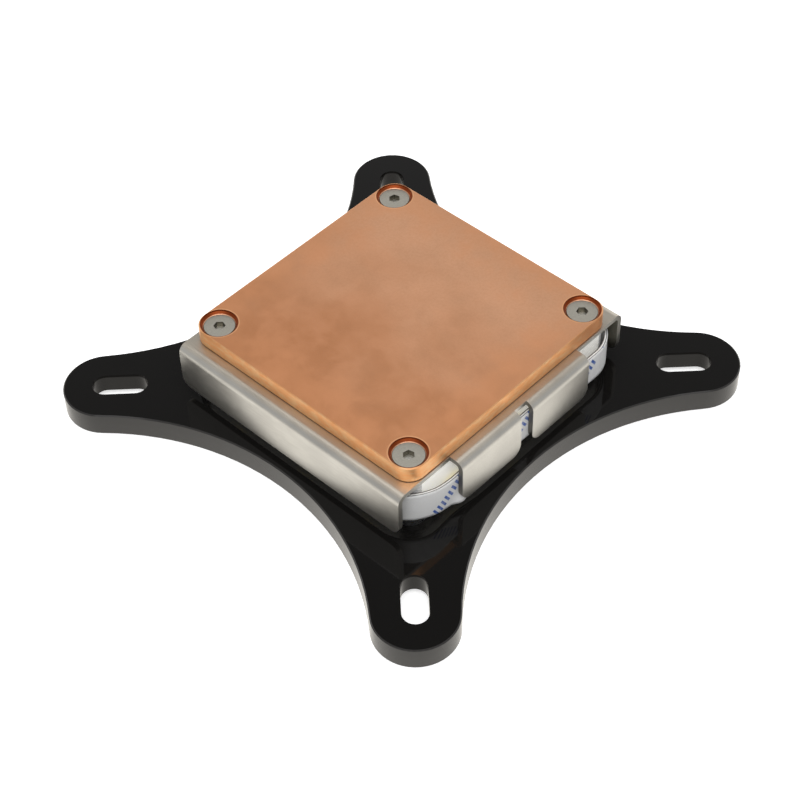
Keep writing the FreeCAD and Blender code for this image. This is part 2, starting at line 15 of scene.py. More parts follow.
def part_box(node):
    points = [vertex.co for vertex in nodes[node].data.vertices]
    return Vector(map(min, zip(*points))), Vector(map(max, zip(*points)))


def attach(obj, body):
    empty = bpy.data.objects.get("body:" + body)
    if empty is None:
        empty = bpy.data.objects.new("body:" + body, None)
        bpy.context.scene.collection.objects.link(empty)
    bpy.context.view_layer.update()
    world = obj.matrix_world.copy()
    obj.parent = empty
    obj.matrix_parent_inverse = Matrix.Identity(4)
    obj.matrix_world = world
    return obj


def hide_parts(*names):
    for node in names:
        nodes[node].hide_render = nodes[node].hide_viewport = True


MM = 0.001
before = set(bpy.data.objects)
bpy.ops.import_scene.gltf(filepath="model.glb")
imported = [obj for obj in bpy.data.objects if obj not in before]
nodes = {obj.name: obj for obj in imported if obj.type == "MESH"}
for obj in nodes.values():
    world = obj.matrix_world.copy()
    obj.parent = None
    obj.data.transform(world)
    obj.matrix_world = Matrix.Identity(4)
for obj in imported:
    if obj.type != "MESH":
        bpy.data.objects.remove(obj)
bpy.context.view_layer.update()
scene = bpy.context.scene
scene.view_settings.view_transform = "Standard"

# ---------------------------------------------------------------------------------------------------
# Shader helpers
# ---------------------------------------------------------------------------------------------------

BLOCK_TURN = 45.0  # degrees, from the row's X and Y to the block's u and v
FLAT_SPAN = (0.6, 0.95)  # upward part of the normal, from a side to a flat face
NOISE_SPAN = (0.3, 0.7)  # nearly all that a noise gives lies in here
NOISE_MIDDLE = (0.35, 0.65)  # narrower, for spots that stand out more
NOISE_UPPER = (0.35, 0.7)
ACRYLIC_IOR = 1.49


def new_tree(name):
    """A new material and its emptied node tree."""
    material = bpy.data.materials.new(name)
    material.use_nodes = True
    tree = material.node_tree
    tree.nodes.clear()
    return material, tree


def put(tree, kind, inputs=None, **settings):
    """Adds a node. An input that is a socket is linked, and any other value is set."""
    made = tree.nodes.new(kind)
    for key, value in settings.items():
        setattr(made, key, value)
    for key, value in (inputs or {}).items():
        if isinstance(value, bpy.types.NodeSocket):
            tree.links.new(value, made.inputs[key])
        else:
            made.inputs[key].default_value = value
    return made


def math_node(tree, operation, a, b=0.0):
    return put(tree, "ShaderNodeMath", {0: a, 1: b}, operation=operation).outputs[0]


def split(tree, vector):
    """The X, Y and Z of a vector."""
    return put(tree, "ShaderNodeSeparateXYZ", {0: vector}).outputs[:]


def turn_about_z(tree, vector, degrees):
    inputs = {"Vector": vector, "Angle": math.radians(degrees)}
    return put(tree, "ShaderNodeVectorRotate", inputs).outputs[0]


def vector_node(tree, operation, *inputs):
    """A vector operation. Its result is output 0, or the output "Value" if it is a number."""
    return put(tree, "ShaderNodeVectorMath", dict(enumerate(inputs)), operation=operation).outputs


def length_of(tree, vector):
    return vector_node(tree, "LENGTH", vector)["Value"]


def mix_value(tree, factor, a, b):
    """A number that is a at factor 0 and b at factor 1."""
    return put(tree, "ShaderNodeMix", {0: factor, 2: a, 3: b}).outputs[0]


def mix_colour(tree, factor, a, b, blend="MIX"):
    """A colour that is a at factor 0. At factor 1 it is b, or a times b with the blend MULTIPLY."""
    a, b = ((*value, 1.0) if isinstance(value, tuple) else value for value in (a, b))
    return put(tree, "ShaderNodeMix", {0: factor, 6: a, 7: b}, data_type="RGBA", blend_type=blend).outputs[2]


def ramp_between(tree, value, low, high, out_low=0.0, out_high=1.0):
    """Runs smoothly from out_low to out_high as the value goes from low to high."""
    inputs = {"Value": value, "From Min": low, "From Max": high, "To Min": out_low, "To Max": out_high}
    return put(tree, "ShaderNodeMapRange", inputs, interpolation_type="SMOOTHSTEP").outputs[0]


def fall_between(tree, value, low, high, start=1.0):
    """Falls smoothly from start to 0 as the value goes from low to high."""
    return ramp_between(tree, value, low, high, start, 0.0)


def place_mm(tree, scale=(1.0, 1.0, 1.0), turn=0.0):
    """Object coordinates in millimetres, turned about Z and then scaled on each axis."""
    coords = put(tree, "ShaderNodeTexCoord").outputs["Object"]
    per_metre = tuple(factor / MM for factor in scale)
    return vector_node(tree, "MULTIPLY", turn_about_z(tree, coords, turn), per_metre)[0]


def noise(tree, vector, scale, detail, roughness=0.5, distortion=0.0):
    inputs = {"Vector": vector, "Scale": scale, "Detail": detail, "Roughness": roughness}
    inputs["Distortion"] = distortion
    return put(tree, "ShaderNodeTexNoise", inputs).outputs["Fac"]


def streaks(tree, scale, turn=0.0, detail=2.0, roughness=0.5):
    """A noise with a scale for each axis, so that it is drawn out along the axes of small scale."""
    return noise(tree, place_mm(tree, scale, turn), scale=1.0, detail=detail, roughness=roughness)


def bump(tree, height, depth, strength):
    """A normal for a relief whose depth is given in millimetres."""
    inputs = {"Height": height, "Distance": depth * MM, "Strength": strength}
    return put(tree, "ShaderNodeBump", inputs).outputs[0]


def finish_surface(material, inputs):
    """Ends the tree with one principled shader."""
    tree = material.node_tree
    shader = put(tree, "ShaderNodeBsdfPrincipled", inputs)
    put(tree, "ShaderNodeOutputMaterial", {"Surface": shader.outputs[0]})
    return material


def true_normal(tree):
    return put(tree, "ShaderNodeNewGeometry").outputs["True Normal"]


def facing(tree):
    """0 where the true surface is upright, 1 where it lies flat."""
    up = split(tree, true_normal(tree))[2]
    return ramp_between(tree, math_node(tree, "ABSOLUTE", up), *FLAT_SPAN)


def on_arm(tree, place):
    """Distances along and across the nearest of the four arms, from a place on its axis."""
    x, y = (math_node(tree, "ABSOLUTE", axis) for axis in split(tree, place_mm(tree))[:2])
    along = math_node(tree, "SUBTRACT", math_node(tree, "MAXIMUM", x, y), place)
    return along, math_node(tree, "MINIMUM", x, y)


# ---------------------------------------------------------------------------------------------------
# Copper
# ---------------------------------------------------------------------------------------------------

SCREW_REACH = 33.588  # from the middle to a screw's axis
RECESS_RADIUS = 3.55
HEAD_RADIUS = 2.9
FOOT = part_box("cover_plate")[1].z / MM  # where the copper's sides meet the cover

TARNISH_SPAN = (-26.0, 18.0)  # along v, from the warm side to the pale one
TARNISH_PLAY = 7.0
PATCH_SPAN = (0.40, 0.66)
PATCH_STRENGTH = 0.24
GRAIN_STRENGTH = 0.34
MARGIN_SPAN = (17.0, 28.0)  # from the middle, where the face gets warmer towards its edges
MARGIN_PLAY = 4.0
MARGIN_STRENGTH = 0.45
RIGHT_SHADE_SPAN = (27.0, 35.0)  # along X, where painted shade darkens the sides towards the right corner
RIGHT_SHADE_STRENGTH = 0.6
# painted shade along the foot of the copper's sides, where they meet the cover
FOOT_SHADE_SPAN = (FOOT + 0.10, FOOT + 0.28)
FOOT_SHADE_STRENGTH = 0.95
# painted highlight on the rim round each screw recess
RIM_HIGHLIGHT_SPAN = (RECESS_RADIUS + 0.16, RECESS_RADIUS + 0.34)
RIM_HIGHLIGHT_STRENGTH = 0.8
# painted highlight in each recess next to the screw head
HEAD_HIGHLIGHT_SPAN = (HEAD_RADIUS + 0.12, HEAD_RADIUS + 0.24)
RECESS_BLUR = 0.05
LAPPED_ROUGHNESS = (0.34, 0.40)
GRAIN_ROUGHNESS = 0.06
SIDE_ROUGHNESS = 0.42

FACE_WARM = (0.725, 0.318, 0.147)
FACE_PALE = (0.89, 0.485, 0.283)
FACE_PATCH = (0.77, 0.41, 0.245)
FACE_GRAIN = (0.72, 0.34, 0.18)
FACE_MARGIN = (0.81, 0.36, 0.165)
FACE_RIM_HIGHLIGHT = (1.0, 0.54, 0.28)
SIDE_LOW = (1.0, 0.49, 0.21)
SIDE_HIGH = (1.0, 0.625, 0.33)
SIDE_RIGHT_SHADE = (0.72, 0.30, 0.13)
SIDE_FOOT_SHADE = (0.16, 0.05, 0.02)
# painted shade on the recess walls, and a painted highlight next to the head
RECESS_SHADE = (0.26, 0.052, 0.014)
RECESS_HIGHLIGHT_BY_HEAD = (1.0, 0.55, 0.33)


def copper_face(tree, u, v, clouds, patches, grain):
    """The contact face's colour: warmer to the front left and at its edges, with patches and a grain."""
    drift = math_node(tree, "ADD", v, ramp_between(tree, clouds, *NOISE_SPAN, -TARNISH_PLAY, TARNISH_PLAY))
    tint = mix_colour(tree, ramp_between(tree, drift, *TARNISH_SPAN), FACE_WARM, FACE_PALE)
    spots = ramp_between(tree, patches, *PATCH_SPAN, out_high=PATCH_STRENGTH)
    tint = mix_colour(tree, spots, tint, FACE_PATCH)
    specks = ramp_between(tree, grain, *NOISE_UPPER, out_high=GRAIN_STRENGTH)
    tint = mix_colour(tree, specks, tint, FACE_GRAIN)
    u, v = (math_node(tree, "ABSOLUTE", axis) for axis in (u, v))
    play = ramp_between(tree, patches, *NOISE_SPAN, -MARGIN_PLAY, MARGIN_PLAY)
    margin = math_node(tree, "ADD", math_node(tree, "MAXIMUM", u, v), play)
    at_edges = ramp_between(tree, margin, *MARGIN_SPAN, out_high=MARGIN_STRENGTH)
    return mix_colour(tree, at_edges, tint, FACE_MARGIN)


def copper_side(tree, height):
    """The sides' colour: bright milled copper, with painted shade towards the right corner and along the
    foot, where the sides meet the cover.
    """
    stretched = place_mm(tree, (1.0, 1.0, 2.5), BLOCK_TURN)
    milled = noise(tree, stretched, scale=0.5, detail=4.0, roughness=0.65)
    tint = mix_colour(tree, ramp_between(tree, milled, *NOISE_UPPER), SIDE_LOW, SIDE_HIGH)
    # painted shade on the sides towards the right corner
    right = ramp_between(tree, split(tree, place_mm(tree))[0], *RIGHT_SHADE_SPAN, out_high=RIGHT_SHADE_STRENGTH)
    # painted shade along the foot
    foot_shade = fall_between(tree, height, *FOOT_SHADE_SPAN, start=FOOT_SHADE_STRENGTH)
    return mix_colour(tree, foot_shade, mix_colour(tree, right, tint, SIDE_RIGHT_SHADE), SIDE_FOOT_SHADE)


def copper_material():
    """Lapped copper: clouds of faint tarnish, fine lapping marks and a slightly rougher side, with painted
    shade and painted highlights in the screw recesses.
    """
    material, tree = new_tree("copper")
    position = place_mm(tree, turn=BLOCK_TURN)
    u, v, height = split(tree, position)
    clouds = noise(tree, position, scale=0.055, detail=3.0, roughness=0.45, distortion=0.6)
    patches = noise(tree, position, scale=0.16, detail=7.0, roughness=0.68, distortion=0.2)
    grain = noise(tree, position, scale=2.0, detail=3.0, roughness=0.7)
    along = streaks(tree, (0.25, 7.0, 1.0), BLOCK_TURN)
    across = streaks(tree, (6.0, 0.3, 1.0), BLOCK_TURN)
    marks = math_node(tree, "ADD", along, across)
    lapped = math_node(
        tree, "ADD", ramp_between(tree, patches, *NOISE_SPAN, *LAPPED_ROUGHNESS),
        math_node(tree, "MULTIPLY", grain, GRAIN_ROUGHNESS))
    screw_along, screw_across = on_arm(tree, SCREW_REACH)
    radius = length_of(tree, put(tree, "ShaderNodeCombineXYZ", {0: screw_along, 1: screw_across}).outputs[0])
    face = copper_face(tree, u, v, clouds, patches, grain)
    # painted highlight on each recess's rim
    face = mix_colour(tree, fall_between(tree, radius, *RIM_HIGHLIGHT_SPAN, start=RIM_HIGHLIGHT_STRENGTH), face, FACE_RIM_HIGHLIGHT)
    # screw recesses: painted shade on their walls and a painted highlight next to the head
    recess_shade_and_highlight = mix_colour(tree, fall_between(tree, radius, *HEAD_HIGHLIGHT_SPAN), RECESS_SHADE, RECESS_HIGHLIGHT_BY_HEAD)
    in_recess = fall_between(tree, radius, RECESS_RADIUS, RECESS_RADIUS + RECESS_BLUR)
    flat = facing(tree)
    tint = mix_colour(tree, flat, copper_side(tree, height), face)
    return finish_surface(material, {
        "Base Color": mix_colour(tree, in_recess, tint, recess_shade_and_highlight), "Metallic": 1.0,
        "Roughness": mix_value(tree, flat, SIDE_ROUGHNESS, lapped),
        "Normal": bump(tree, marks, depth=0.004, strength=0.5)})


# ---------------------------------------------------------------------------------------------------
# Cover sheet
# ---------------------------------------------------------------------------------------------------

TAB_END = 18.0  # along v, just beyond the ends of the tabs
TAB_BLUR = 1.0
COVER_INSIDE = 10.0  # height of the point from which only the sheet's inner faces are seen
INSIDE_SHADE_SPAN = (-5.0, -1.0)  # from that point to a face's plane, negative if the face looks at the point
CUT_SPAN = (0.8, 0.95)  # of the normal's part along v, on a cut end
BRUSHED_SPAN = (0.4, 0.7)
BRUSHED_STRENGTH = 0.35
SHEET_ROUGHNESS = (0.31, 0.43)

SHEET_LOW = (0.58, 0.565, 0.53)
SHEET_HIGH = (0.65, 0.635, 0.595)
SHEET_GRAIN = (0.46, 0.445, 0.415)
# painted shade on the tabs' cut ends
SHEET_CUT_SHADE = (0.20, 0.19, 0.175)
# painted shade on the sheet's inner faces
INSIDE_SHADE_FACTOR = (0.42, 0.41, 0.36)
# painted warm reflection of the copper on the sheet's flat faces
TOP_REFLECTION_FACTOR = (0.90, 0.845, 0.77)


def sheet_material():
    """Brushed stainless sheet, with its grain along u. Painted shade darkens its inner faces and the tabs'
    cut ends, and a painted warm reflection of the copper tints its flat faces.
    """
    material, tree = new_tree("brushed_cover")
    grain = streaks(tree, (0.22, 6.0, 6.0), BLOCK_TURN, detail=4.0, roughness=0.7)
    position = place_mm(tree, turn=BLOCK_TURN)
    clouds = noise(tree, position, scale=0.12, detail=3.0)
    tint = mix_colour(tree, ramp_between(tree, clouds, *NOISE_MIDDLE), SHEET_LOW, SHEET_HIGH)
    brushed = ramp_between(tree, grain, *BRUSHED_SPAN, out_high=BRUSHED_STRENGTH)
    tint = mix_colour(tree, brushed, tint, SHEET_GRAIN)
    normal = true_normal(tree)
    along_v = math_node(tree, "ABSOLUTE", split(tree, turn_about_z(tree, normal, BLOCK_TURN))[1])
    from_middle = math_node(tree, "ABSOLUTE", split(tree, position)[1])
    # painted shade on the tabs' cut ends
    cut_shade = math_node(
        tree, "MULTIPLY", fall_between(tree, from_middle, TAB_END, TAB_END + TAB_BLUR),
        ramp_between(tree, along_v, *CUT_SPAN))
    place = vector_node(tree, "ADD", place_mm(tree), (0.0, 0.0, -COVER_INSIDE))[0]
    outward = vector_node(tree, "DOT_PRODUCT", place, normal)["Value"]
    # painted shade on the inner faces
    inside_shade = fall_between(tree, outward, *INSIDE_SHADE_SPAN)
    tint = mix_colour(tree, inside_shade, tint, INSIDE_SHADE_FACTOR, "MULTIPLY")
    # painted warm reflection of the copper on the flat faces
    tint = mix_colour(tree, facing(tree), tint, TOP_REFLECTION_FACTOR, "MULTIPLY")
    return finish_surface(material, {
        "Base Color": mix_colour(tree, cut_shade, tint, SHEET_CUT_SHADE), "Metallic": 1.0,
        "Roughness": ramp_between(tree, grain, *NOISE_SPAN, *SHEET_ROUGHNESS),
        "Normal": bump(tree, grain, depth=0.016, strength=0.5)})


# ---------------------------------------------------------------------------------------------------
# Black bracket
# ---------------------------------------------------------------------------------------------------

SLOT_PLACE = 53.7  # from the middle to a slot's own middle
SLOT_REACH = 6.2  # half a slot's length and a little more
SLOT_BLUR = 0.5
SLOT_EDGE_SPAN = (4.35, 4.55)  # heights, from a slot's wall to its broken upper edge
OUTLINE_REFLECTION_SPAN = (1.0, 5.0)  # heights, over which the painted floor reflection on the edges fades upwards
HAIRLINE_TURN = 17.0  # degrees
POLISHED_ROUGHNESS = (0.045, 0.085)
MACHINED_ROUGHNESS = (0.12, 0.2)

BLACK_FACE = (0.0068, 0.0064, 0.0060)
# machined grey edges, with a painted floor reflection that makes them lighter low down
OUTLINE_REFLECTION_LOW = (0.040, 0.038, 0.036)
OUTLINE_REFLECTION_HIGH = (0.031, 0.0295, 0.028)
# painted shade on the walls inside the slots
SLOT_WALL_SHADE = (0.011, 0.010, 0.009)
FACE_SHINE = 0.24
OUTLINE_SHINE = 0.42
SLOT_SHINE = (0.24, 0.03)  # on the wall and on its upper edge


def black_material():
    """Black acrylic: polished faces with a few hairlines, and machined edges that scatter a little. The edges
    carry a painted floor reflection, lighter low down, and the slot walls painted shade.
    """
    material, tree = new_tree("black_acrylic")
    flat = facing(tree)
    position = place_mm(tree)
    height = split(tree, position)[2]
    smudges = noise(tree, position, scale=0.16, detail=4.0, roughness=0.6)
    hairlines = streaks(tree, (0.5, 14.0, 1.0), HAIRLINE_TURN)
    cutter = streaks(tree, (1.2, 1.2, 9.0))
    on_face = ramp_between(tree, smudges, *NOISE_UPPER, *POLISHED_ROUGHNESS)
    on_edge = ramp_between(tree, cutter, *NOISE_SPAN, *MACHINED_ROUGHNESS)
    along, across = on_arm(tree, SLOT_PLACE)
    along = math_node(tree, "ABSOLUTE", along)
    across = math_node(tree, "MULTIPLY", across, 2.0)
    from_slot = math_node(tree, "MAXIMUM", along, across)
    in_slot = fall_between(tree, from_slot, SLOT_REACH, SLOT_REACH + SLOT_BLUR)
    # machined edges with a painted floor reflection, lighter low down
    outline_reflection = mix_colour(tree, ramp_between(tree, height, *OUTLINE_REFLECTION_SPAN), OUTLINE_REFLECTION_LOW, OUTLINE_REFLECTION_HIGH)
    # painted shade on the slot walls
    edge_with_shade = mix_colour(tree, in_slot, outline_reflection, SLOT_WALL_SHADE)
    slot_shine = ramp_between(tree, height, *SLOT_EDGE_SPAN, *SLOT_SHINE)
    upright = math_node(tree, "SUBTRACT", 1.0, flat)
    edge_shine = mix_value(tree, math_node(tree, "MULTIPLY", in_slot, upright), OUTLINE_SHINE, slot_shine)
    return finish_surface(material, {
        "Base Color": mix_colour(tree, flat, edge_with_shade, BLACK_FACE),
        "Roughness": mix_value(tree, flat, on_edge, on_face), "IOR": ACRYLIC_IOR,
        "Specular IOR Level": mix_value(tree, flat, edge_shine, FACE_SHINE),
        "Normal": bump(tree, mix_value(tree, flat, cutter, hairlines), depth=0.0008, strength=0.5)})


# ---------------------------------------------------------------------------------------------------
# Clear body
# ---------------------------------------------------------------------------------------------------

CLEAR_BELOW = 8.0  # height
CLEAR_END = 15.0  # along v; beyond this, towards the right corner, the flats are less frosted
CLEAR_BLUR = 1.0
END_FROST = 0.7
SQUARE_SPAN = (0.96, 0.995)  # of the normal's largest part, squared, from a corner to a flat
BODY_GLOW = 0.29  # painted glow on the frosted flats, for the light that the clear body carries to them
FOOT_TRANSMISSION = 0.9
UPPER_TRANSMISSION = 0.35
FROST_TRANSMISSION = 0.06
CLEAR_ROUGHNESS = (0.20, 0.32)

FROST_LOW = (0.91, 0.89, 0.83)
FROST_HIGH = (0.95, 0.935, 0.885)
# painted shade on the clear foot, next to the black bracket
CLEAR_FOOT_SHADE = (0.34, 0.34, 0.34)
CLEAR_UPPER = (0.80, 0.80, 0.81)


def clear_material():
    """Clear acrylic, frosted where its flats were machined and clearer at its corners and foot, with a
    painted glow on the frosted flats and painted shade at the foot.
    """
    material, tree = new_tree("clear_acrylic")
    mill = streaks(tree, (0.8, 0.8, 6.0), BLOCK_TURN, detail=3.0)
    haze = noise(tree, place_mm(tree), scale=0.3, detail=3.0)
    own = turn_about_z(tree, true_normal(tree), BLOCK_TURN)
    squares = [math_node(tree, "MULTIPLY", axis, axis) for axis in split(tree, own)]
    largest = math_node(tree, "MAXIMUM", math_node(tree, "MAXIMUM", squares[0], squares[1]), squares[2])
    along_v, height = split(tree, place_mm(tree, turn=BLOCK_TURN))[1:]
    upper = ramp_between(tree, height, CLEAR_BELOW - CLEAR_BLUR, CLEAR_BELOW + CLEAR_BLUR)
    machined = math_node(tree, "MULTIPLY", ramp_between(tree, largest, *SQUARE_SPAN), upper)
    at_end = ramp_between(tree, along_v, CLEAR_END, CLEAR_END + CLEAR_BLUR, 1.0, END_FROST)
    flat = math_node(tree, "MULTIPLY", machined, at_end)
    frosted = mix_colour(tree, haze, FROST_LOW, FROST_HIGH)
    # painted shade at the foot
    clear = mix_colour(tree, upper, CLEAR_FOOT_SHADE, CLEAR_UPPER)
    through = mix_value(tree, upper, FOOT_TRANSMISSION, UPPER_TRANSMISSION)
    return finish_surface(material, {
        "Base Color": mix_colour(tree, flat, clear, frosted), "IOR": ACRYLIC_IOR,
        "Roughness": ramp_between(tree, mill, *NOISE_SPAN, *CLEAR_ROUGHNESS),
        "Transmission Weight": mix_value(tree, flat, through, FROST_TRANSMISSION),
        # painted glow on the frosted flats
        "Emission Color": frosted, "Emission Strength": math_node(tree, "MULTIPLY", flat, BODY_GLOW),
        "Normal": bump(tree, mill, depth=0.004, strength=0.4)})


# ---------------------------------------------------------------------------------------------------
# Steel, lamps, the strip's inner side and plain stuffs
# ---------------------------------------------------------------------------------------------------

SOCKET_FLOOR = 18.5  # height
SOCKET_BLUR = 0.5
SOCKET_LIGHT_BAND = 5.0  # how far below its floor the painted light on a screw's flats reaches
BAND_BLUR = 1.0
# painted light on the socket floor
SOCKET_PAINTED_LIGHT = (0.95, 0.93, 0.87)
STEEL_PLAY = 0.1  # of the roughness
PLAIN_PLAY = 0.12
FINER = 7  # of a plain stuff's gloss and surface, against its colour
LACQUER_ROUGHNESS = (0.4, 0.55)
LAMP_ROUGHNESS = (0.2, 0.3)
# colour of the painted glow
PAINTED_GLOW_COLOUR = (1.0, 0.985, 0.955, 1.0)
LACQUER_LOW = (0.60, 0.61, 0.62)
LACQUER_HIGH = (0.68, 0.69, 0.70)
# painted shade for the shadowed gap beside the body
LACQUER_GAP_SHADE = (0.045, 0.033, 0.026)
PHOSPHOR_LOW = (0.86, 0.72, 0.24)
PHOSPHOR_HIGH = (0.90, 0.80, 0.38)
CASE_LOW = (0.80, 0.79, 0.77)
CASE_HIGH = (0.88, 0.875, 0.86)


def steel_material(name, low, high, rough, turn, shaded_walls=None):
    """Plain machined steel, with turning or rolling marks. A screw has painted shade on its upright walls and
    painted light on the flats at its socket floor.
    """
    material, tree = new_tree(name)
    marks = streaks(tree, (2.0, 9.0, 9.0), turn, detail=3.0, roughness=0.65)
    specks = noise(tree, place_mm(tree), scale=6.0, detail=2.0)
    tint = mix_colour(tree, ramp_between(tree, marks, *NOISE_UPPER), low, high)
    if shaded_walls:
        height = split(tree, place_mm(tree))[2]
        band_foot = SOCKET_FLOOR - SOCKET_LIGHT_BAND
        # painted light on the flats at the socket floor
        floor_light = math_node(
            tree, "MULTIPLY", fall_between(tree, height, SOCKET_FLOOR, SOCKET_FLOOR + SOCKET_BLUR),
            ramp_between(tree, height, band_foot, band_foot + BAND_BLUR))
        tint = mix_colour(tree, floor_light, tint, SOCKET_PAINTED_LIGHT)
        # painted shade on a screw's upright walls
        tint = mix_colour(tree, facing(tree), shaded_walls, tint)
    return finish_surface(material, {
        "Base Color": tint, "Metallic": 1.0,
        "Roughness": ramp_between(tree, specks, *NOISE_SPAN, rough, rough + STEEL_PLAY),
        "Normal": bump(tree, marks, depth=0.005, strength=0.5)})


def plain_material(name, low, high, rough, scale=1.5, metallic=0.0, painted_glow=0.0):
    """A matt or glossy stuff with slight unevenness of colour, gloss and surface, and an optional painted
    glow.
    """
    material, tree = new_tree(name)
    uneven = noise(tree, place_mm(tree), scale, detail=4.0, roughness=0.6)
    fine = noise(tree, place_mm(tree), scale * FINER, detail=3.0, roughness=0.6)
    return finish_surface(material, {
        "Base Color": mix_colour(tree, ramp_between(tree, uneven, *NOISE_MIDDLE), low, high),
        # the optional painted glow
        "Metallic": metallic, "Emission Color": PAINTED_GLOW_COLOUR, "Emission Strength": painted_glow,
        "Roughness": ramp_between(tree, fine, *NOISE_SPAN, rough, rough + PLAIN_PLAY),
        "Normal": bump(tree, fine, depth=0.004, strength=0.6)})


def backing_material():
    """The strip's inner side: pale lacquer, with painted shade on its cut edges for the shadowed gap beside
    the body.
    """
    material, tree = new_tree("strip_backing")
    uneven = noise(tree, place_mm(tree), scale=1.5, detail=4.0, roughness=0.6)
    lacquer = mix_colour(tree, ramp_between(tree, uneven, *NOISE_MIDDLE), LACQUER_LOW, LACQUER_HIGH)
    return finish_surface(material, {
        # painted shade on the cut edges
        "Base Color": mix_colour(tree, facing(tree), lacquer, LACQUER_GAP_SHADE),
        "Roughness": ramp_between(tree, uneven, *NOISE_SPAN, *LACQUER_ROUGHNESS),
        "Normal": bump(tree, uneven, depth=0.004, strength=0.6)})


def lamp_material():
    """A lamp: a white case with a yellow phosphor window in its upright faces."""
    material, tree = new_tree("lamp_resin")
    uneven = noise(tree, place_mm(tree), scale=1.8, detail=3.0)
    phosphor = mix_colour(tree, uneven, PHOSPHOR_LOW, PHOSPHOR_HIGH)
    case = mix_colour(tree, uneven, CASE_LOW, CASE_HIGH)
    return finish_surface(material, {
        "Base Color": mix_colour(tree, facing(tree), phosphor, case),
        "Roughness": ramp_between(tree, uneven, *NOISE_SPAN, *LAMP_ROUGHNESS),
        "Normal": bump(tree, uneven, depth=0.004, strength=0.5)})


# ---------------------------------------------------------------------------------------------------
# Liner
# ---------------------------------------------------------------------------------------------------

DASH_SLANT = 38.0  # degrees between a row of dashes and the strip
DASH_ROW_STEP = 19.0  # along the strip
DASH_ROW_SHIFT = -3.4
DASH_LENGTH = 1.9  # across the row
DASH_WIDTH = 0.55  # along the row, like the next four
DASH_STEP = 1.15
DASH_GROUP_LENGTH = 11.4
DASH_GROUP_STEP = 13.55
DASH_GROUP_SHIFT = -0.4
DASH_BLUR = 0.06
ROW_BLUR = 0.08
WORN_SPAN = (0.3, 0.6)  # of the noise that wears the ink
WORN_INK = 0.7  # what is left of it where it is worn most
PAPER_GLOW = 0.02  # painted glow for the light that comes through the thin paper
PAPER_ROUGHNESS = (0.36, 0.46)

PAPER_LOW = (0.65, 0.65, 0.65)
PAPER_HIGH = (0.74, 0.74, 0.735)
INK = (0.035, 0.10, 0.36)


def repeated(tree, value, step, size, blur=ROW_BLUR):
    """1 on bands of a size that come again with every step, and 0 between them."""
    from_middle = math_node(tree, "PINGPONG", value, step / 2)
    return fall_between(tree, from_middle, size / 2 - blur, size / 2 + blur)


def liner_material():
    """Release paper with a faint fibre, slanting rows of plain blue dashes and a faint painted glow. The UVs
    are millimetres.
    """
    material, tree = new_tree("liner_paper")
    uv = put(tree, "ShaderNodeUVMap", uv_map="millimetres").outputs[0]
    along, across = split(tree, turn_about_z(tree, uv, -DASH_SLANT))[:2]
    row_pitch = DASH_ROW_STEP * math.sin(math.radians(DASH_SLANT))
    on_row = repeated(tree, math_node(tree, "ADD", across, DASH_ROW_SHIFT), row_pitch, DASH_LENGTH)
    on_dash = repeated(tree, along, DASH_STEP, DASH_WIDTH, DASH_BLUR)
    in_group = repeated(
        tree, math_node(tree, "ADD", along, DASH_GROUP_SHIFT), DASH_GROUP_STEP, DASH_GROUP_LENGTH)
    ink = math_node(tree, "MULTIPLY", math_node(tree, "MULTIPLY", on_row, on_dash), in_group)
    position = place_mm(tree)
    fibre = noise(tree, position, scale=2.4, detail=4.0, roughness=0.65)
    wear = noise(tree, position, scale=1.1, detail=2.0)
    left = ramp_between(tree, wear, *WORN_SPAN, WORN_INK, 1.0)
    paper = mix_colour(tree, fibre, PAPER_LOW, PAPER_HIGH)
    tint = mix_colour(tree, math_node(tree, "MULTIPLY", ink, left), paper, INK)
    return finish_surface(material, {
        "Base Color": tint, "Roughness": ramp_between(tree, fibre, *NOISE_SPAN, *PAPER_ROUGHNESS),
        # faint painted glow
        "Emission Color": tint, "Emission Strength": PAPER_GLOW,
        "Normal": bump(tree, fibre, depth=0.006, strength=0.5)})


# ---------------------------------------------------------------------------------------------------
# Materials on the nodes
# ---------------------------------------------------------------------------------------------------

LOOKS = {
    "mounting_bracket": black_material(),
    "block_body": clear_material(),
    "cover_plate": sheet_material(),
    "cold_plate": copper_material(),
    "seal_ring": plain_material("seal_rubber", (0.012, 0.012, 0.012), (0.022, 0.022, 0.021), 0.5),
    "jet_plate": steel_material("plain_steel", (0.50, 0.49, 0.47), (0.60, 0.59, 0.57), 0.3, BLOCK_TURN),
    # the strip film gets a faint painted glow
    "light_strip": plain_material("strip_film", (0.78, 0.77, 0.74), (0.86, 0.855, 0.83), 0.42, painted_glow=0.04),
    # the screw's upright walls get painted shade
    "screw": steel_material(
        "screw_steel", (0.52, 0.495, 0.425), (0.62, 0.59, 0.515), 0.32, turn=20.0, shaded_walls=(0.12, 0.11, 0.085)),
    "insert": plain_material("brass", (0.66, 0.47, 0.19), (0.76, 0.56, 0.26), 0.26, metallic=1.0),
    "led": lamp_material(),
    "resistor": plain_material(
        "resistor_ceramic", (0.020, 0.020, 0.022), (0.045, 0.045, 0.048), 0.5, scale=4.0),
}


def look_for(name):
    """The material of a node: its own, or that of its kind."""
    return LOOKS.get(name) or LOOKS[name.split("_")[0]]


for name, thing in nodes.items():
    if name in ("strip_liner", "light_strip"):
        continue
    thing.data.materials.clear()
    thing.data.materials.append(look_for(name))

# ---------------------------------------------------------------------------------------------------
# Lamp strip and its liner: thin bands that sag beside the front corner, the liner with a lifted edge
# ---------------------------------------------------------------------------------------------------

